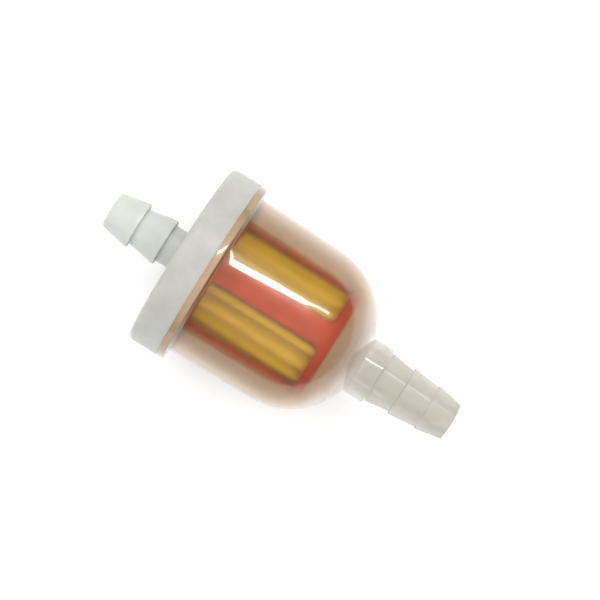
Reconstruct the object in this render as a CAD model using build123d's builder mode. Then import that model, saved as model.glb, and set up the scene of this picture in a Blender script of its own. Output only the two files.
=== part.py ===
from build123d import *
import os
from math import cos, isclose, radians, sin

# An in-line fuel filter for a small engine: a clear bowl and a milky cap, welded
# rim to rim, with a caged tube of pleated paper between their hose spigots.
#
# The fuel line runs along X. The cap's spigot points to -X and the bowl's to +X.
# The origin is on that axis, midway between the two spigot tips. Lengths are in mm.

# ---- Housing ----
rim_r = 16.0
cap_depth = 5.35
cap_wall = 1.8
cap_rim_wall = 2.2
cap_corner_r = 0.9

flange_thickness = 1.25
flange_corner_r = 0.3
flange_fillet_r = 0.6
bowl_wall = 1.3
bowl_mouth_r = 14.25
bowl_shoulder_r = 13.85
shoulder_length = 16.6
bowl_length = 28.45
dome_apex_gap = 0.8
register_depth = 2.2
register_wall = 0.85
register_gap = 0.05

# ---- Hose spigots ----
fuel_bore_r = 2.2
crest_land = 0.5
tip_edge_r = 0.45
crest_edge_r = 0.12
root_fillet_r = 0.4

cap_stem_r = 3.3
cap_stem_length = 2.9
cap_barbs = [(4.0, 5.05), (4.0, 5.15)]
cap_waist_r = 3.2
cap_tip_r = 3.1

collar_r = 4.95
collar_length = 3.55
collar_edge_r = 0.2
bowl_stem_radii = (4.5, 3.85)
bowl_stem_length = 4.45
bowl_barbs = [(4.25, 4.8), (4.0, 4.65)]
bowl_waist_r = 3.75
bowl_tip_r = 3.2

# ---- Cage ----
cage_mouth_r = 10.0
cage_end_r = 9.6
cage_wall = 0.9
cage_end_wall = 0.9
cage_reach = 22.9
cage_edge_r = 0.6
mouth_ring_r = 10.6
mouth_ring_length = 1.6
socket_depth = 2.5
socket_wall = 1.25
rib_count = 4
rib_width = 4.6
rib_turn = 83.0
window_start = 1.5
window_end = 21.2
window_corner_r = 1.2

# ---- Paper and its glue ----
pleat_count = 16
pleat_outer_r = 8.4
pleat_inner_r = 4.9
paper_thickness = 0.4
cap_glue_r = 8.9
end_glue_r = 8.6
glue_bore_r = 4.2
cap_glue_thickness = 0.8
end_glue_thickness = 0.4
seam_r = 1.5
seam_fold = 15

# ---- Stations along the fuel line ----
cap_spigot_length = cap_stem_length + sum(length for _, length in cap_barbs)
bowl_barbed_length = bowl_stem_length + sum(length for _, length in bowl_barbs)
bowl_spigot_length = collar_length + bowl_barbed_length
total_length = cap_spigot_length + cap_depth + bowl_length + bowl_spigot_length

cap_tip_x = -total_length / 2
cap_face_x = cap_tip_x + cap_spigot_length
weld_x = cap_face_x + cap_depth
neck_x = weld_x + bowl_length
collar_end_x = neck_x + collar_length
bowl_tip_x = total_length / 2

cap_floor_x = cap_face_x + cap_wall
shoulder_x = weld_x + shoulder_length
cage_end_x = weld_x + cage_reach
cage_floor_x = cage_end_x - cage_end_wall


def spigot_outline(root_x, way, stem_radii, stem_length, barbs, waist_r, tip_r):
    """Outline of a hose spigot, from its root to its tip.

    way is +1 or -1, the direction of the tip along X. barbs holds each barb's
    crest radius and length, the one nearest the root first.
    """
    x = root_x + way * stem_length
    points = [(root_x, stem_radii[0]), (x, stem_radii[1])]
    for number, (crest_r, length) in enumerate(barbs, start=1):
        foot_r = tip_r if number == len(barbs) else waist_r
        points.append((x, crest_r))
        points.append((x + way * crest_land, crest_r))
        x += way * length
        points.append((x, foot_r))
    return points


def rings(part, x, radius):
    """The circular edges of a turned part at one station and radius."""

    def is_ring(edge):
        centre = edge.arc_center
        return isclose(centre.X, x, abs_tol=1e-4) and isclose(edge.radius, radius, abs_tol=1e-4)

    return part.edges().filter_by(GeomType.CIRCLE).filter_by(is_ring)


def crest_rings(part, root_x, way, stem_length, barbs):
    """Both edges of every barb crest on a spigot."""
    edges = ShapeList()
    x = root_x + way * stem_length
    for crest_r, length in barbs:
        edges += rings(part, x, crest_r)
        edges += rings(part, x + way * crest_land, crest_r)
        x += way * length
    return edges


# ---- Cap: a shallow cup with the spigot on its face and the cage's socket inside ----
cap_spigot = spigot_outline(
    cap_face_x, -1, (cap_stem_r, cap_stem_r), cap_stem_length, cap_barbs, cap_waist_r, cap_tip_r
)
socket_r = mouth_ring_r + register_gap
with BuildPart() as cap:
    with BuildSketch(Plane.XY):
        with BuildLine():
            Polyline(
                *reversed(cap_spigot),
                (cap_face_x, rim_r),
                (weld_x, rim_r),
                (weld_x, rim_r - cap_rim_wall),
                (cap_floor_x, rim_r - cap_rim_wall),
                (cap_floor_x, socket_r + socket_wall),
                (cap_floor_x + socket_depth, socket_r + socket_wall),
                (cap_floor_x + socket_depth, socket_r),
                (cap_floor_x, socket_r),
                (cap_floor_x, fuel_bore_r),
                (cap_tip_x, fuel_bore_r),
                close=True,
            )
        make_face()
    revolve(axis=Axis.X)
    fillet(rings(cap, cap_face_x, rim_r), cap_corner_r)
    fillet(rings(cap, cap_face_x, cap_stem_r), root_fillet_r)
    fillet(rings(cap, cap_tip_x, cap_tip_r), tip_edge_r)
    fillet(crest_rings(cap, cap_face_x, -1, cap_stem_length, cap_barbs), crest_edge_r)

# ---- Bowl: a domed cup with a welding flange, a register lip and the longer spigot ----
bowl_spigot = spigot_outline(
    collar_end_x, 1, bowl_stem_radii, bowl_stem_length, bowl_barbs, bowl_waist_r, bowl_tip_r
)
register_r = rim_r - cap_rim_wall - register_gap
flange_back_x = weld_x + flange_thickness
wall_taper = Vector(shoulder_x - flange_back_x, bowl_shoulder_r - bowl_mouth_r)
with BuildPart() as bowl:
    with BuildSketch(Plane.XY):
        with BuildLine():
            Polyline(
                (neck_x, collar_r),
                (collar_end_x, collar_r),
                *bowl_spigot,
                (bowl_tip_x, fuel_bore_r),
                (neck_x - dome_apex_gap, fuel_bore_r),
            )
            TangentArc(
                (shoulder_x, bowl_shoulder_r - bowl_wall),
                (neck_x - dome_apex_gap, fuel_bore_r),
                tangent=wall_taper,
            )
            Polyline(
                (shoulder_x, bowl_shoulder_r - bowl_wall),
                (weld_x, register_r - register_wall),
                (weld_x - register_depth, register_r - register_wall),
                (weld_x - register_depth, register_r),
                (weld_x, register_r),
                (weld_x, rim_r),
                (flange_back_x, rim_r),
                (flange_back_x, bowl_mouth_r),
                (shoulder_x, bowl_shoulder_r),
            )
            TangentArc(
                (shoulder_x, bowl_shoulder_r),
                (neck_x, collar_r),
                tangent=wall_taper,
            )
        make_face()
    revolve(axis=Axis.X)
    fillet(rings(bowl, flange_back_x, rim_r), flange_corner_r)
    fillet(rings(bowl, flange_back_x, bowl_mouth_r), flange_fillet_r)
    fillet(rings(bowl, collar_end_x, collar_r), collar_edge_r)
    fillet(rings(bowl, bowl_tip_x, bowl_tip_r), tip_edge_r)
    fillet(crest_rings(bowl, collar_end_x, 1, bowl_stem_length, bowl_barbs), crest_edge_r)

# ---- Cage: an open-mouthed tube with a closed end and four windows between its ribs ----
window_length = window_end - window_start
window_x = weld_x + (window_start + window_end) / 2
rib_half_angle = rib_width / cage_mouth_r / 2
window_width = 2 * cage_mouth_r * sin(radians(180 / rib_count) - rib_half_angle)
with BuildPart() as cage:
    with BuildSketch(Plane.XY):
        with BuildLine():
            Polyline(
                (cap_floor_x, cage_mouth_r - cage_wall),
                (cap_floor_x, mouth_ring_r),
                (cap_floor_x + mouth_ring_length, mouth_ring_r),
                (cap_floor_x + mouth_ring_length, cage_mouth_r),
                (cage_end_x, cage_end_r),
                (cage_end_x, 0),
                (cage_floor_x, 0),
                (cage_floor_x, cage_end_r - cage_wall),
                close=True,
            )
        make_face()
    revolve(axis=Axis.X)
    for window in range(rib_count):
        angle = radians(rib_turn + (window + 0.5) * 360 / rib_count)
        outward = (0, cos(angle), sin(angle))
        with BuildSketch(Plane(origin=(window_x, 0, 0), x_dir=(1, 0, 0), z_dir=outward)):
            RectangleRounded(window_length, window_width, window_corner_r)
        extrude(amount=rim_r, mode=Mode.SUBTRACT)
    fillet(rings(cage, cage_end_x, cage_end_r), cage_edge_r)

# ---- Filter paper: one sheet folded into pleats and closed into a tube ----
paper_start_x = cap_floor_x + cap_glue_thickness
paper_end_x = cage_floor_x - end_glue_thickness


def fold(number):
    """A fold of the sheet's middle surface: even folds point outwards, odd ones inwards.

    Fold 0 lies behind the middle of the first rib.
    """
    angle = radians(rib_turn + number * 180 / pleat_count)
    radius = pleat_inner_r if number % 2 else pleat_outer_r
    return (radius * cos(angle), radius * sin(angle))


folds = [fold(number) for number in range(2 * pleat_count)]
with BuildPart() as filter_paper:
    with BuildSketch(Plane.YZ.offset(paper_start_x)):
        Polygon(*folds, align=None)
        offset(amount=paper_thickness / 2, kind=Kind.ARC, mode=Mode.REPLACE)
    extrude(amount=paper_end_x - paper_start_x)
    with BuildSketch(Plane.YZ.offset(paper_start_x)):
        Polygon(*folds, align=None)
        offset(amount=-paper_thickness / 2, kind=Kind.ARC, mode=Mode.REPLACE)
    extrude(amount=paper_end_x - paper_start_x, mode=Mode.SUBTRACT)

# ---- Glue: a ring at the open end, a disc at the closed end, a bead along the seam ----
with BuildPart() as cap_end_glue:
    with BuildSketch(Plane.YZ.offset(cap_floor_x)):
        Circle(cap_glue_r)
        Circle(glue_bore_r, mode=Mode.SUBTRACT)
    extrude(amount=cap_glue_thickness)

with BuildPart() as closed_end_glue:
    with BuildSketch(Plane.YZ.offset(paper_end_x)):
        Circle(end_glue_r)
    extrude(amount=end_glue_thickness)

# The seam joins the sheet's two edges at one inward fold, behind the rib opposite the
# first. Its bead lies in the valley outside that fold and is trimmed by the sheet itself.
with BuildPart() as seam_glue:
    with BuildSketch(Plane.YZ.offset(paper_start_x)):
        with Locations(fold(seam_fold)):
            Circle(seam_r)
        Polygon(*folds, align=None, mode=Mode.SUBTRACT)
    extrude(amount=paper_end_x - paper_start_x)
    add(filter_paper.part, mode=Mode.SUBTRACT)

# ---- Output ----
pieces = {
    "cap": cap,
    "bowl": bowl,
    "cage": cage,
    "filter_paper": filter_paper,
    "cap_end_glue": cap_end_glue,
    "closed_end_glue": closed_end_glue,
    "seam_glue": seam_glue,
}
os.makedirs("parts", exist_ok=True)
for name, piece in pieces.items():
    piece.part.label = name
    export_step(piece.part, f"parts/{name}.step")
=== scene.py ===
import random
from math import cos, pi, radians, sin

import bmesh
import bpy
from mathutils import Matrix, Vector


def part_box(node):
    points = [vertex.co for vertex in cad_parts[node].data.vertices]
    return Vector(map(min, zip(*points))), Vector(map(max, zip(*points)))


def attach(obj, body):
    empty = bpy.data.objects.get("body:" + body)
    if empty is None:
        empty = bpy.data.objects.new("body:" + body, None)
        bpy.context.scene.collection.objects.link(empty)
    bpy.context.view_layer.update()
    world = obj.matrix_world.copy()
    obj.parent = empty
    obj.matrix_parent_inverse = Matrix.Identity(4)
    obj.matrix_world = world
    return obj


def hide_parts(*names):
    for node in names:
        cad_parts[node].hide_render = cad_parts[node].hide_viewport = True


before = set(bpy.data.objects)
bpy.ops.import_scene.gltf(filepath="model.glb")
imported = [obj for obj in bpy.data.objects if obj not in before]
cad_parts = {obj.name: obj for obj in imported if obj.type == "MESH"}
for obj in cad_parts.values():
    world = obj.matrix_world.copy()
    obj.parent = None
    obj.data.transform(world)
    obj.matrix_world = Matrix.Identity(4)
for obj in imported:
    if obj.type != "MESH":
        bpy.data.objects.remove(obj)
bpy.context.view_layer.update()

# An in-line fuel filter on a pale floor, seen from straight above. The fuel line runs along
# X. Shapes are worked out in mm, and turned into metres as meshes are made.

MM = 0.001


def box_mm(node):
    """The lowest and highest corners of a CAD node, in mm."""
    low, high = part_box(node)
    return low / MM, high / MM


# ---- Lengths along the fuel line ----
cap_depth = 5.35
shoulder_length = 16.6
bowl_length = 28.45
collar_length = 3.55

# ---- Stations along the fuel line, from the CAD nodes' boxes ----
cap_low, cap_high = box_mm("cap")
bowl_low, bowl_high = box_mm("bowl")
cage_low, cage_high = box_mm("cage")
paper_low, paper_high = box_mm("filter_paper")
cap_glue_low, cap_glue_high = box_mm("cap_end_glue")
end_glue_low, end_glue_high = box_mm("closed_end_glue")

rim_r = cap_high.z
cap_tip_x = cap_low.x
weld_x = cap_high.x
cap_face_x = weld_x - cap_depth
cap_floor_x = cage_low.x
register_x = bowl_low.x
bowl_tip_x = bowl_high.x
neck_x = weld_x + bowl_length
collar_end_x = neck_x + collar_length
shoulder_x = weld_x + shoulder_length
cage_end_x = cage_high.x

# ---- Spigot sizes ----
fuel_bore_r = 2.2
bore_lead_in = 0.25
crest_land = 0.5
crest_rounding = 0.14
tip_rounding = 0.45
cap_stem_r = 3.3
cap_stem_length = 2.9
cap_barbs = [(4.0, 5.05), (4.0, 5.15)]  # crest radius and length of each
cap_waist_r = 3.2
cap_tip_r = 3.1
bowl_stem_root_r = 4.5
bowl_stem_end_r = 3.85
bowl_stem_length = 4.45
bowl_barbs = [(4.25, 4.8), (4.0, 4.65)]
bowl_waist_r = 3.75
bowl_tip_r = 3.2

# ---- Housing sizes ----
cap_rim_wall = 2.2
cap_corner_r = 0.9
socket_r = 10.65
socket_wall = 1.25
socket_depth = 2.5
flange_thickness = 1.25
mouth_r = 14.25
shoulder_r = 13.85
bowl_wall = 1.3
dome_apex_gap = 0.8
collar_r = 4.95
neck_fillet_r = 0.25
register_gap = 0.05
register_wall = 0.85

# ---- Cage sizes ----
cage_r = 10.0
cage_end_r = 9.6
cage_wall = 0.9
cage_end_wall = 0.9
cage_corner_r = 0.6
mouth_ring_r = 10.6
mouth_ring_length = 1.6
window_edge_r = 0.3
window_corner_r = 1.2
window_start_x = weld_x + 1.5
window_end_x = weld_x + 21.2
rib_count = 4
rib_width = 4.6
rib_turn = 83.0

# ---- Paper sizes ----
pleat_count = 16
pleat_outer_r = 8.4
pleat_inner_r = 4.9
paper_thickness = 0.4
crest_fold_r = 0.6
valley_fold_r = 0.25
seam_fold = 15

# ---- Glue sizes ----
open_end_glue_r = 8.9
open_end_glue_hole_r = 4.2
closed_end_glue_r = 8.6
glue_centre_r = 0.01


# ---- Outlines ----
def arc(centre, start, end, steps):
    """Points along the shorter arc from start to end about centre."""
    a = start - centre
    b = end - centre
    turn = a.angle(b)
    points = []
    for step in range(steps + 1):
        share = step / steps
        points.append(centre + (a * sin((1 - share) * turn) + b * sin(share * turn)) / sin(turn))
    return points


def rounded(corners, steps=6):
    """A closed outline through corners of (x, radius, rounding), each corner made an arc."""
    points = []
    count = len(corners)
    for number, (x, r, rounding) in enumerate(corners):
        corner = Vector((x, r))
        if rounding == 0:
            points.append(corner)
            continue
        back = (Vector(corners[number - 1][:2]) - corner).normalized()
        ahead = (Vector(corners[(number + 1) % count][:2]) - corner).normalized()
        half = back.angle(ahead) / 2
        reach = rounding * cos(half) / sin(half)
        centre = corner + (back + ahead).normalized() * rounding / sin(half)
        points += arc(centre, corner + back * reach, corner + ahead * reach, steps)
    return points


def tangent_arc(start, end, heading, steps):
    """Points from start to end along the arc that leaves start in the direction heading."""
    side = Vector((-heading.y, heading.x)).normalized()
    across = end - start
    radius = across.length_squared / (2 * side.dot(across))
    return arc(start + side * radius, start, end, steps)


def spigot(root_x, way, stem_radii, stem_length, barbs, waist_r, tip_r):
    """Corners of a hose spigot's outside, from its root to its tip."""
    x = root_x + way * stem_length
    corners = [(root_x, stem_radii[0], 0.4), (x, stem_radii[1], 0.1)]
    for number, (crest_r, length) in enumerate(barbs, start=1):
        last = number == len(barbs)
        corners.append((x, crest_r, crest_rounding))
        corners.append((x + way * crest_land, crest_r, crest_rounding))
        x += way * length
        corners.append((x, tip_r if last else waist_r, tip_rounding if last else 0.1))
    return corners


# ---- Meshes ----
SHARP_EDGE = radians(38)


def piece(name, bm):
    """Makes a smooth-shaded object from a bmesh that is in mm."""
    bmesh.ops.remove_doubles(bm, verts=bm.verts, dist=1e-4)
    bmesh.ops.recalc_face_normals(bm, faces=bm.faces)
    bmesh.ops.scale(bm, verts=bm.verts, vec=(MM, MM, MM))
    mesh = bpy.data.meshes.new(name)
    bm.to_mesh(mesh)
    bm.free()
    mesh.shade_smooth()
    mesh.set_sharp_from_angle(angle=SHARP_EDGE)
    made = bpy.data.objects.new(name, mesh)
    bpy.context.scene.collection.objects.link(made)
    return made


def bridge(bm, first, second):
    """Quads between two closed rows of vertices."""
    for k in range(len(first)):
        after = (k + 1) % len(first)
        bm.faces.new((first[k], first[after], second[after], second[k]))


def lathe(name, outline, turns=176):
    """Turns a closed outline of (x, radius) points about the fuel line."""
    bm = bmesh.new()
    rows = []
    for point in outline:
        row = []
        for turn in range(turns):
            angle = 2 * pi * turn / turns
            row.append(bm.verts.new((point.x, point.y * cos(angle), point.y * sin(angle))))
        rows.append(row)
    for number, row in enumerate(rows):
        bridge(bm, row, rows[(number + 1) % len(rows)])
    return piece(name, bm)


def even(outline, spacing):
    """An outline with its long straight stretches divided, so that shading stays even."""
    points = []
    for number, point in enumerate(outline):
        after = outline[(number + 1) % len(outline)]
        parts = max(1, int((after - point).length / spacing))
        points += [point.lerp(after, part / parts) for part in range(parts)]
    return points


def make_cap():
    stem_radii = (cap_stem_r, cap_stem_r)
    outside = spigot(
        cap_face_x, -1, stem_radii, cap_stem_length, cap_barbs, cap_waist_r, cap_tip_r
    )
    corners = list(reversed(outside))
    corners += [
        (cap_face_x, rim_r, cap_corner_r),
        (weld_x, rim_r, 0),
        (weld_x, rim_r - cap_rim_wall, 0),
        (cap_floor_x, rim_r - cap_rim_wall, 0.4),
        (cap_floor_x, socket_r + socket_wall, 0.3),
        (cap_floor_x + socket_depth, socket_r + socket_wall, 0.25),
        (cap_floor_x + socket_depth, socket_r, 0.25),
        (cap_floor_x, socket_r, 0),
        (cap_floor_x, fuel_bore_r, 0.3),
        (cap_tip_x, fuel_bore_r, bore_lead_in),
    ]
    return lathe("cap_shell", even(rounded(corners), 0.8))


def make_bowl():
    stem_radii = (bowl_stem_root_r, bowl_stem_end_r)
    outside = spigot(
        collar_end_x, 1, stem_radii, bowl_stem_length, bowl_barbs, bowl_waist_r, bowl_tip_r
    )
    outside[0] = (collar_end_x, bowl_stem_root_r, 0.15)
    taper = Vector((shoulder_x - weld_x - flange_thickness, shoulder_r - mouth_r))
    register_out_r = rim_r - cap_rim_wall - register_gap
    register_in_r = register_out_r - register_wall
    shoulder_inside = Vector((shoulder_x, shoulder_r - bowl_wall))
    dome_outside = tangent_arc(
        Vector((shoulder_x, shoulder_r)), Vector((neck_x, collar_r)), -taper, 40
    )
    dome_inside = tangent_arc(
        shoulder_inside, Vector((neck_x - dome_apex_gap, fuel_bore_r)), -taper, 40
    )
    corners = [(point.x, point.y, 0) for point in dome_outside[:-1]]
    corners.append((neck_x, collar_r, neck_fillet_r))
    corners.append((collar_end_x, collar_r, 0.2))
    corners += outside
    corners.append((bowl_tip_x, fuel_bore_r, bore_lead_in))
    corners += [(point.x, point.y, 0) for point in reversed(dome_inside)]
    corners += [
        (weld_x, register_in_r, 0),
        (register_x, register_in_r, 0.2),
        (register_x, register_out_r, 0.2),
        (weld_x, register_out_r, 0),
        (weld_x, rim_r, 0),
        (weld_x + flange_thickness, rim_r, 0.3),
        (weld_x + flange_thickness, mouth_r, 0.6),
    ]
    return lathe("bowl_shell", even(rounded(corners), 0.8))


def cage_radius(x):
    """The cage's outside radius, which tapers from its mouth to its closed end."""
    start = cap_floor_x + mouth_ring_length
    share = (x - start) / (cage_end_x - start)
    return cage_r + (cage_end_r - cage_r) * min(max(share, 0), 1)


CORNER_STEPS = 5
LONG_STEPS = 18
SHORT_STEPS = 14


def window_loop(centre_x, half_length, half_width, corner):
    """(x, distance round the cage) points round a window, from one mid-corner onwards."""
    points = []
    sides = [
        (Vector((1, 0)), Vector((0, 1)), half_length, half_width, LONG_STEPS),
        (Vector((0, -1)), Vector((1, 0)), half_width, half_length, SHORT_STEPS),
        (Vector((-1, 0)), Vector((0, -1)), half_length, half_width, LONG_STEPS),
        (Vector((0, 1)), Vector((-1, 0)), half_width, half_length, SHORT_STEPS),
    ]
    for ahead, outward, reach, height, steps in sides:
        side = []
        for step in range(CORNER_STEPS + 1):
            angle = radians(45 - 45 * step / CORNER_STEPS)
            side.append((-reach + corner - corner * sin(angle), height - corner + corner * cos(angle)))
        for step in range(1, steps):
            side.append((-reach + corner + 2 * (reach - corner) * step / steps, height))
        for step in range(CORNER_STEPS):
            angle = radians(45 * step / CORNER_STEPS)
            side.append((reach - corner + corner * sin(angle), height - corner + corner * cos(angle)))
        points += [ahead * along + outward * up + Vector((centre_x, 0)) for along, up in side]
    return points


def quarter_border(start_x, end_x):
    """The edge of one quarter of the cage, with as many points as a window's edge has."""
    centre_x = (start_x + end_x) / 2
    half_length = (end_x - start_x) / 2
    half_width = cage_r * pi / rib_count
    corners = [
        Vector((centre_x - half_length, half_width)),
        Vector((centre_x + half_length, half_width)),
        Vector((centre_x + half_length, -half_width)),
        Vector((centre_x - half_length, -half_width)),
    ]
    points = []
    for number, corner in enumerate(corners):
        count = 2 * CORNER_STEPS + (SHORT_STEPS if number % 2 else LONG_STEPS)
        after = corners[(number + 1) % 4]
        points += [corner.lerp(after, step / count) for step in range(count)]
    return points


def make_cage():
    """Four quarters, each a bordered window, with a mouth ring and a closed end."""
    bm = bmesh.new()
    ring_x = cap_floor_x + mouth_ring_length
    band_x = cage_end_x - cage_corner_r
    centre_x = (window_start_x + window_end_x) / 2
    half_length = (window_end_x - window_start_x) / 2
    half_width = cage_r * (pi / rib_count - rib_width / cage_r / 2)
    border = quarter_border(ring_x, band_x)

    def place(point, depth, turn):
        angle = turn + point.y / cage_r
        radius = cage_radius(point.x) - depth
        return bm.verts.new((point.x, radius * cos(angle), radius * sin(angle)))

    def grown(extra):
        return window_loop(
            centre_x, half_length + extra, half_width + extra, window_corner_r + extra
        )

    for quarter in range(rib_count):
        turn = radians(rib_turn + (quarter + 0.5) * 360 / rib_count)
        rows = []
        for share in (0, 0.34, 0.67):
            edge = grown(window_edge_r)
            rows.append([(a.lerp(b, share), 0.0) for a, b in zip(border, edge)])
        for step in range(7):
            angle = radians(90 * step / 6)
            extra = window_edge_r * (1 - sin(angle))
            depth = window_edge_r * (1 - cos(angle))
            rows.append([(point, depth) for point in grown(extra)])
        rows += [[(p, cage_wall - d) for p, d in row] for row in reversed(rows)]
        made = [[place(point, depth, turn) for point, depth in row] for row in rows]
        for first, second in zip(made, made[1:]):
            bridge(bm, first, second)

    turns = rib_count * (2 * CORNER_STEPS + SHORT_STEPS)
    mouth = rounded(
        [
            (ring_x, cage_r, 0),
            (ring_x, mouth_ring_r, 0.15),
            (cap_floor_x, mouth_ring_r, 0.2),
            (cap_floor_x, cage_r - cage_wall, 0.2),
            (ring_x, cage_r - cage_wall, 0),
        ]
    )
    closed_end = rounded(
        [
            (band_x, cage_radius(band_x), 0),
            (cage_end_x, cage_end_r, cage_corner_r - 0.02),
            (cage_end_x, 1.6, 0),
            (cage_end_x - 0.25, 1.3, 0.15),
            (cage_end_x - 0.25, 0.0, 0),
            (cage_end_x - cage_end_wall, 0.0, 0),
            (cage_end_x - cage_end_wall, cage_end_r - cage_wall, 0.2),
            (band_x, cage_radius(band_x) - cage_wall, 0),
        ]
    )
    for profile in (mouth, closed_end):
        rows = []
        for point in profile:
            row = []
            for step in range(turns):
                angle = radians(rib_turn) + 2 * pi * step / turns
                row.append(bm.verts.new((point.x, point.y * cos(angle), point.y * sin(angle))))
            rows.append(row)
        for first, second in zip(rows, rows[1:]):
            bridge(bm, first, second)
    bmesh.ops.dissolve_degenerate(bm, dist=1e-4, edges=bm.edges)
    return piece("cage_moulding", bm)


def pleat_line(share, wander):
    """The folded sheet's middle line at one place along the tube, as a closed outline."""
    points = []
    steps = 8
    for number in range(2 * pleat_count):
        lean, swell, phase = wander[number]
        angle = radians(rib_turn + number * 180 / pleat_count)
        angle += radians(lean) * sin(2.2 * share + phase)
        outward = Vector((cos(angle), sin(angle)))
        onward = Vector((-outward.y, outward.x))
        if number % 2:
            centre = outward * (pleat_inner_r + valley_fold_r)
            bulge = -outward * valley_fold_r
            half_width = onward * valley_fold_r
        else:
            sag = swell * (0.6 + 0.4 * cos(3.1 * share + phase))
            centre = outward * (pleat_outer_r - crest_fold_r - sag)
            bulge = outward * crest_fold_r
            half_width = onward * crest_fold_r
        for step in range(steps + 1):
            turn = pi * (step / steps - 0.5)
            points.append(centre + bulge * cos(turn) + half_width * sin(turn))
    return even(points, 0.7)


def make_paper():
    """The sheet, folded a little unevenly, apart from the folds beside its seam."""
    chance = random.Random(16)
    wander = []
    for number in range(2 * pleat_count):
        near_seam = abs(number - seam_fold) < 3
        lean = 0 if near_seam else chance.uniform(-1.6, 1.6)
        swell = 0 if near_seam else chance.uniform(0.0, 0.3)
        wander.append((lean, swell, chance.uniform(0, 6)))
    bm = bmesh.new()
    rows_out = []
    rows_in = []
    steps = 24
    for step in range(steps + 1):
        share = step / steps
        x = paper_low.x + (paper_high.x - paper_low.x) * share
        line = pleat_line(share, wander)
        count = len(line)
        outer = []
        inner = []
        for k, point in enumerate(line):
            along = (line[(k + 1) % count] - line[k - 1]).normalized()
            normal = Vector((along.y, -along.x)) * paper_thickness / 2
            outer.append(bm.verts.new((x, *(point + normal))))
            inner.append(bm.verts.new((x, *(point - normal))))
        rows_out.append(outer)
        rows_in.append(inner)
    for rows in (rows_out, rows_in):
        for first, second in zip(rows, rows[1:]):
            bridge(bm, first, second)
    bridge(bm, rows_out[0], rows_in[0])
    bridge(bm, rows_out[-1], rows_in[-1])
    return piece("pleated_sheet", bm)


def make_glue_ring():
    corners = [
        (cap_glue_low.x, open_end_glue_r, 0.1),
        (cap_glue_low.x, open_end_glue_hole_r, 0.1),
        (cap_glue_high.x, open_end_glue_hole_r, 0.3),
        (cap_glue_high.x, open_end_glue_r, 0.3),
    ]
    return lathe("open_end_glue", even(rounded(corners), 0.5))


def make_glue_disc():
    corners = [
        (end_glue_low.x, glue_centre_r, 0),
        (end_glue_low.x, closed_end_glue_r, 0.15),
        (end_glue_high.x, closed_end_glue_r, 0.05),
        (end_glue_high.x, glue_centre_r, 0),
    ]
    return lathe("end_disc_glue", even(rounded(corners), 0.5))


# ---- Materials ----
class Paint:
    """A node material under construction."""

    def __init__(self, name):
        self.material = bpy.data.materials.new(name)
        self.material.use_nodes = True
        self.tree = self.material.node_tree
        self.tree.nodes.clear()
        self.place = self.node("TexCoord").outputs["Object"]

    def node(self, kind, inputs=None, **settings):
        """Adds a node. An input's value is a number, a colour or another node's output."""
        made = self.tree.nodes.new("ShaderNode" + kind)
        for key, value in settings.items():
            setattr(made, key, value)
        for key, value in (inputs or {}).items():
            if isinstance(value, bpy.types.NodeSocket):
                self.tree.links.new(value, made.inputs[key])
            else:
                made.inputs[key].default_value = value
        return made

    def stretched(self, scale):
        """The object's coordinates in mm, scaled along each axis."""
        size = tuple(s / MM for s in scale)
        return self.node("Mapping", {"Vector": self.place, "Scale": size}).outputs["Vector"]

    def noise(self, scale, detail=4.0, stretch=(1, 1, 1), roughness=0.5):
        """Noise with features of about 1 / scale mm."""
        settings = {"Scale": scale, "Detail": detail, "Roughness": roughness}
        settings["Vector"] = self.stretched(stretch)
        return self.node("TexNoise", settings).outputs["Fac"]

    def along(self, start_x, end_x):
        """0 at start_x on the fuel line and before it, and 1 at end_x and past it, in mm."""
        x = self.node("SeparateXYZ", {"Vector": self.place}).outputs["X"]
        limits = {"Value": x, "From Min": start_x * MM, "From Max": end_x * MM}
        return self.node("MapRange", limits).outputs["Result"]

    def scaled(self, value, factor, plus=0.0):
        inputs = {0: value, 1: factor, 2: plus}
        return self.node("Math", inputs, operation="MULTIPLY_ADD").outputs[0]

    def ramp(self, factor, stops):
        """A colour ramp; stops holds (position, colour) pairs."""
        made = self.node("ValToRGB", {"Fac": factor})
        elements = made.color_ramp.elements
        while len(elements) < len(stops):
            elements.new(0.5)
        for element, (position, colour) in zip(elements, stops):
            element.position = position
            element.color = (*colour, 1)
        return made.outputs["Color"]

    def between(self, factor, low, high):
        """A number from low to high as factor goes from 0.3 to 0.7."""
        limits = {"Value": factor, "From Min": 0.3, "From Max": 0.7, "To Min": low, "To Max": high}
        return self.node("MapRange", limits).outputs["Result"]

    def bump(self, height, distance_mm, strength=1.0, below=None):
        settings = {"Height": height, "Distance": distance_mm * MM, "Strength": strength}
        if below is not None:
            settings["Normal"] = below
        return self.node("Bump", settings).outputs["Normal"]

    def finish(self, shader):
        self.node("OutputMaterial", {"Surface": shader.outputs[0]})
        return self.material


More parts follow.
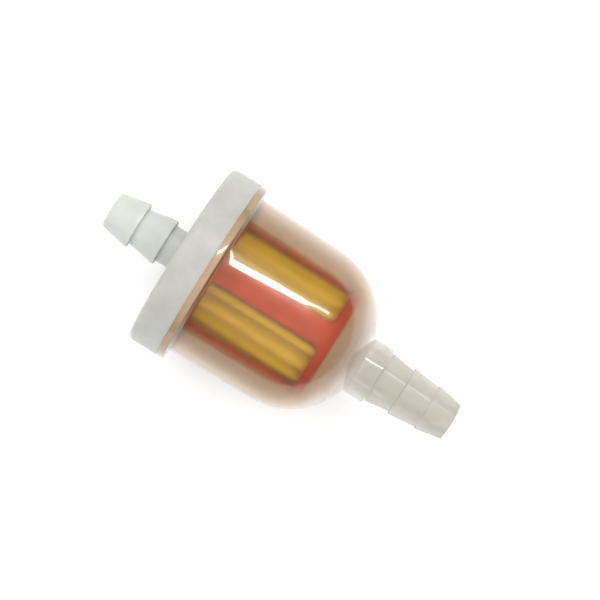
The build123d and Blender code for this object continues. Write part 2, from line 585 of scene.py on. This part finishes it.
def hazy_clear_plastic():
    """Clear on the bowl, milkier where the moulding is thick: its flange and its spigot."""
    paint = Paint("hazy_clear_plastic")
    spigot_share = paint.along(neck_x - 2.6, neck_x - 0.2)
    flange_share = paint.along(weld_x + flange_thickness + 0.5, weld_x + flange_thickness - 0.2)
    haze = paint.noise(0.35, detail=3.0, stretch=(0.5, 1, 1))
    grey_share = paint.along(cage_end_x - 1.5, neck_x + 2.0)
    shade = paint.scaled(haze, 0.4)
    shade = paint.scaled(grey_share, 0.6, plus=shade)
    tint = paint.ramp(
        shade,
        [
            (0.12, (0.75, 0.60, 0.38)),
            (0.28, (0.81, 0.66, 0.43)),
            (0.6, (0.79, 0.73, 0.66)),
            (0.76, (0.59, 0.565, 0.495)),
            (0.92, (0.64, 0.62, 0.555)),
        ],
    )
    # A slanting view goes through more of the wall, so its tint is deeper there. The deepening is
    # partly real absorption and partly painted shade, standing in for the shaded floor seen through
    # the wall's sides.
    slant = paint.node("LayerWeight", {"Blend": 0.5}).outputs["Facing"]
    depth = paint.node("MapRange", {"Value": slant, "From Min": 0.12, "From Max": 0.55})
    clear_share = paint.along(neck_x - 0.5, neck_x - 5.0)
    slant_tint_and_shade = paint.node("Math", {0: depth.outputs["Result"], 1: clear_share}, operation="MULTIPLY")
    tint = paint.node(
        "MixRGB",
        {"Fac": slant_tint_and_shade.outputs[0], "Color1": tint, "Color2": (0.54, 0.35, 0.13, 1)},
        blend_type="MULTIPLY",
    ).outputs["Color"]
    roughness = paint.between(paint.noise(0.6), 0.19, 0.25)
    # The glossy coat is on the outside only, and fades past the collar.
    gloss = paint.scaled(paint.along(collar_end_x - 0.2, collar_end_x + 0.6), -0.8, plus=0.95)
    inside = paint.node("NewGeometry").outputs["Backfacing"]
    outside = paint.node("Math", {0: 1.0, 1: inside}, operation="SUBTRACT").outputs[0]
    gloss = paint.scaled(gloss, outside)
    flow = paint.bump(paint.noise(0.5, detail=2.0, stretch=(0.3, 1, 1)), 0.03, 0.15)
    marks = paint.bump(paint.noise(6.0, detail=5.0, stretch=(0.25, 1, 1)), 0.01, 0.2, below=flow)
    clarity = paint.scaled(spigot_share, -0.39, plus=0.99)
    clarity = paint.scaled(flange_share, -0.3, plus=clarity)
    shader = paint.node(
        "BsdfPrincipled",
        {
            "Base Color": tint,
            "Roughness": roughness,
            "IOR": 1.4,
            "Specular IOR Level": 0.1,
            "Transmission Weight": clarity,
            "Coat Weight": gloss,
            "Coat Roughness": 0.04,
            "Normal": marks,
            "Coat Normal": flow,
        },
    )
    return paint.finish(shader)


def milky_plastic():
    """Milky all over. The thin spigot's lighter colour is painted light, for the light that gets
    through its thin wall.
    """
    paint = Paint("milky_plastic")
    # Painted light: the spigot's colour is lighter than the solid cap's, standing in for light that
    # passes through the thin spigot.
    shaded_cap_share = paint.along(cap_face_x - 0.6, cap_face_x + 0.3)
    shade = paint.scaled(paint.noise(0.4, detail=4.0), 0.4)
    shade = paint.scaled(shaded_cap_share, 0.6, plus=shade)
    colour = paint.ramp(
        shade,
        [
            (0.12, (0.465, 0.478, 0.443)),
            (0.28, (0.52, 0.535, 0.50)),
            (0.72, (0.36, 0.36, 0.33)),
            (0.88, (0.41, 0.41, 0.38)),
        ],
    )
    roughness = paint.between(paint.noise(1.5), 0.32, 0.46)
    ripple = paint.bump(paint.noise(0.5, detail=2.0), 0.12, 0.3)
    grain = paint.bump(paint.noise(7.0, detail=6.0, roughness=0.65), 0.02, 0.5, below=ripple)
    shader = paint.node(
        "BsdfPrincipled",
        {
            "Base Color": colour,
            "Roughness": roughness,
            "IOR": 1.5,
            "Subsurface Weight": 0.6,
            "Subsurface Radius": (1.0, 1.0, 0.9),
            "Subsurface Scale": 1.6 * MM,
            "Normal": grain,
        },
    )
    return paint.finish(shader)


def red_plastic():
    paint = Paint("red_plastic")
    swirl = paint.noise(0.45, detail=5.0, stretch=(0.4, 1, 1))
    colour = paint.ramp(swirl, [(0.3, (0.66, 0.04, 0.01)), (0.7, (0.76, 0.06, 0.016))])
    roughness = paint.between(paint.noise(1.8), 0.3, 0.45)
    grain = paint.bump(paint.noise(5.0, detail=6.0, roughness=0.6), 0.02, 0.5)
    shader = paint.node(
        "BsdfPrincipled",
        {"Base Color": colour, "Roughness": roughness, "IOR": 1.5, "Normal": grain},
    )
    return paint.finish(shader)


def filter_paper():
    paint = Paint("filter_paper")
    fibres = paint.noise(9.0, detail=8.0, stretch=(0.35, 1, 1), roughness=0.7)
    blotches = paint.noise(0.7, detail=4.0)
    both = paint.node("Math", {0: fibres, 1: blotches}, operation="ADD").outputs[0]
    half = paint.node("Math", {0: both, 1: 0.5}, operation="MULTIPLY").outputs[0]
    colour = paint.ramp(half, [(0.32, (0.93, 0.78, 0.03)), (0.68, (0.98, 0.90, 0.06))])
    fuzz = paint.bump(fibres, 0.06, 0.7)
    shader = paint.node(
        "BsdfPrincipled",
        {
            "Base Color": colour,
            "Roughness": 0.85,
            "Specular IOR Level": 0.25,
            "Sheen Weight": 0.15,
            "Normal": fuzz,
        },
    )
    return paint.finish(shader)


def set_glue():
    paint = Paint("set_glue")
    cloud = paint.noise(0.8, detail=4.0)
    colour = paint.ramp(cloud, [(0.3, (0.62, 0.46, 0.2)), (0.7, (0.75, 0.6, 0.33))])
    lumps = paint.bump(paint.noise(1.2, detail=3.0), 0.2, 0.6)
    shader = paint.node(
        "BsdfPrincipled",
        {"Base Color": colour, "Roughness": 0.4, "IOR": 1.5, "Normal": lumps},
    )
    return paint.finish(shader)


def pale_floor():
    paint = Paint("pale_floor")
    cloud = paint.node("TexNoise", {"Vector": paint.place, "Scale": 6.0, "Detail": 2.0})
    colour = paint.ramp(cloud.outputs["Fac"], [(0.3, (0.88, 0.88, 0.88)), (0.7, (0.9, 0.9, 0.9))])
    glow = {"Emission Color": (1, 1, 1, 1), "Emission Strength": 0.06}
    shader = paint.node("BsdfPrincipled", {"Base Color": colour, "Roughness": 0.9, **glow})
    return paint.finish(shader)


# ---- The filter's pieces ----
def dress(made, nodes, material):
    made.data.materials.append(material)
    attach(made, "root")
    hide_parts(*nodes)


glue = set_glue()
dress(make_cap(), ["cap"], milky_plastic())
dress(make_bowl(), ["bowl"], hazy_clear_plastic())
dress(make_cage(), ["cage"], red_plastic())
dress(make_paper(), ["filter_paper"], filter_paper())
dress(make_glue_ring(), ["cap_end_glue"], glue)
dress(make_glue_disc(), ["closed_end_glue"], glue)

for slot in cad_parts["seam_glue"].material_slots:
    slot.material = glue


# ---- Floor, light and camera ----
def make_floor(half_width, z):
    bm = bmesh.new()
    corners = [(-1, -1), (1, -1), (1, 1), (-1, 1)]
    bm.faces.new([bm.verts.new((x * half_width, y * half_width, z)) for x, y in corners])
    mesh = bpy.data.meshes.new("floor")
    bm.to_mesh(mesh)
    bm.free()
    made = bpy.data.objects.new("floor", mesh)
    bpy.context.scene.collection.objects.link(made)
    return made


# The floor ends where the light still reaches it, so it meets the backdrop without a dark band.
floor = make_floor(1.3, -rim_r * MM)
floor.data.materials.append(pale_floor())


def facing(direction, along):
    """The rotation that turns -Z to direction and X as near to along as it can be."""
    back = -direction.normalized()
    across = (along - back * along.dot(back)).normalized()
    return Matrix((across, back.cross(across), back)).transposed()


def softbox(name, towards, distance, size, watts, along=(1, 0, 0)):
    """A rectangular light that shines on the filter from the direction towards."""
    light = bpy.data.lights.new(name, "AREA")
    light.shape = "RECTANGLE"
    light.size = size[0]
    light.size_y = size[1]
    light.energy = watts
    made = bpy.data.objects.new(name, light)
    way = Vector(towards).normalized()
    turn = facing(-way, Vector(along))
    made.matrix_world = Matrix.Translation(way * distance) @ turn.to_4x4()
    made.visible_camera = False
    bpy.context.scene.collection.objects.link(made)
    return made


# Two narrow strips, end to end, draw the long highlight on the bowl: one along its wall,
# the other on its shoulder.
softbox("wall_strip", (0.017, 0.453, 0.891), 0.5, (0.112, 0.026), 0.25, (0.32, 0.947, 0))
softbox("shoulder_strip", (0.316, 0.625, 0.84), 0.546, (0.28, 0.02), 0.48, (0.97, 0.24, 0))
overhead = softbox("overhead", (-0.05, 0.0, 1.0), 0.9, (2.4, 2.4), 34.0)
overhead.visible_glossy = False

# The surroundings light the filter softly, and look as pale as the floor behind it.
world = bpy.data.worlds.new("studio")
world.use_nodes = True
background = world.node_tree.nodes["Background"]
background.inputs["Color"].default_value = (1.0, 1.0, 1.0, 1)
seen = world.node_tree.nodes.new("ShaderNodeLightPath").outputs["Is Camera Ray"]
strength = world.node_tree.nodes.new("ShaderNodeMapRange")
strength.inputs["To Min"].default_value = 0.28
strength.inputs["To Max"].default_value = 0.9
world.node_tree.links.new(seen, strength.inputs["Value"])
world.node_tree.links.new(strength.outputs["Result"], background.inputs["Strength"])
bpy.context.scene.world = world
bpy.context.scene.view_settings.view_transform = "Standard"

# The camera hangs over the filter, with the picture's width given at the fuel line's height.
camera_distance = 0.4
picture_width = 0.09646
sensor_width = 36.0
azimuth = radians(32.2)
right = Vector((cos(azimuth), sin(azimuth), 0))
up = Vector((-sin(azimuth), cos(azimuth), 0))
aim = right * 2.97 * MM + up * 2.52 * MM

camera_data = bpy.data.cameras.new("camera")
camera_data.sensor_width = sensor_width
camera_data.lens = sensor_width * camera_distance / picture_width
camera_data.clip_start = 0.01
camera = bpy.data.objects.new("camera", camera_data)
camera.matrix_world = Matrix.Translation(aim + Vector((0, 0, camera_distance))) @ (
    Matrix((right, up, (0, 0, 1))).transposed().to_4x4()
)
bpy.context.scene.collection.objects.link(camera)
bpy.context.scene.camera = camera
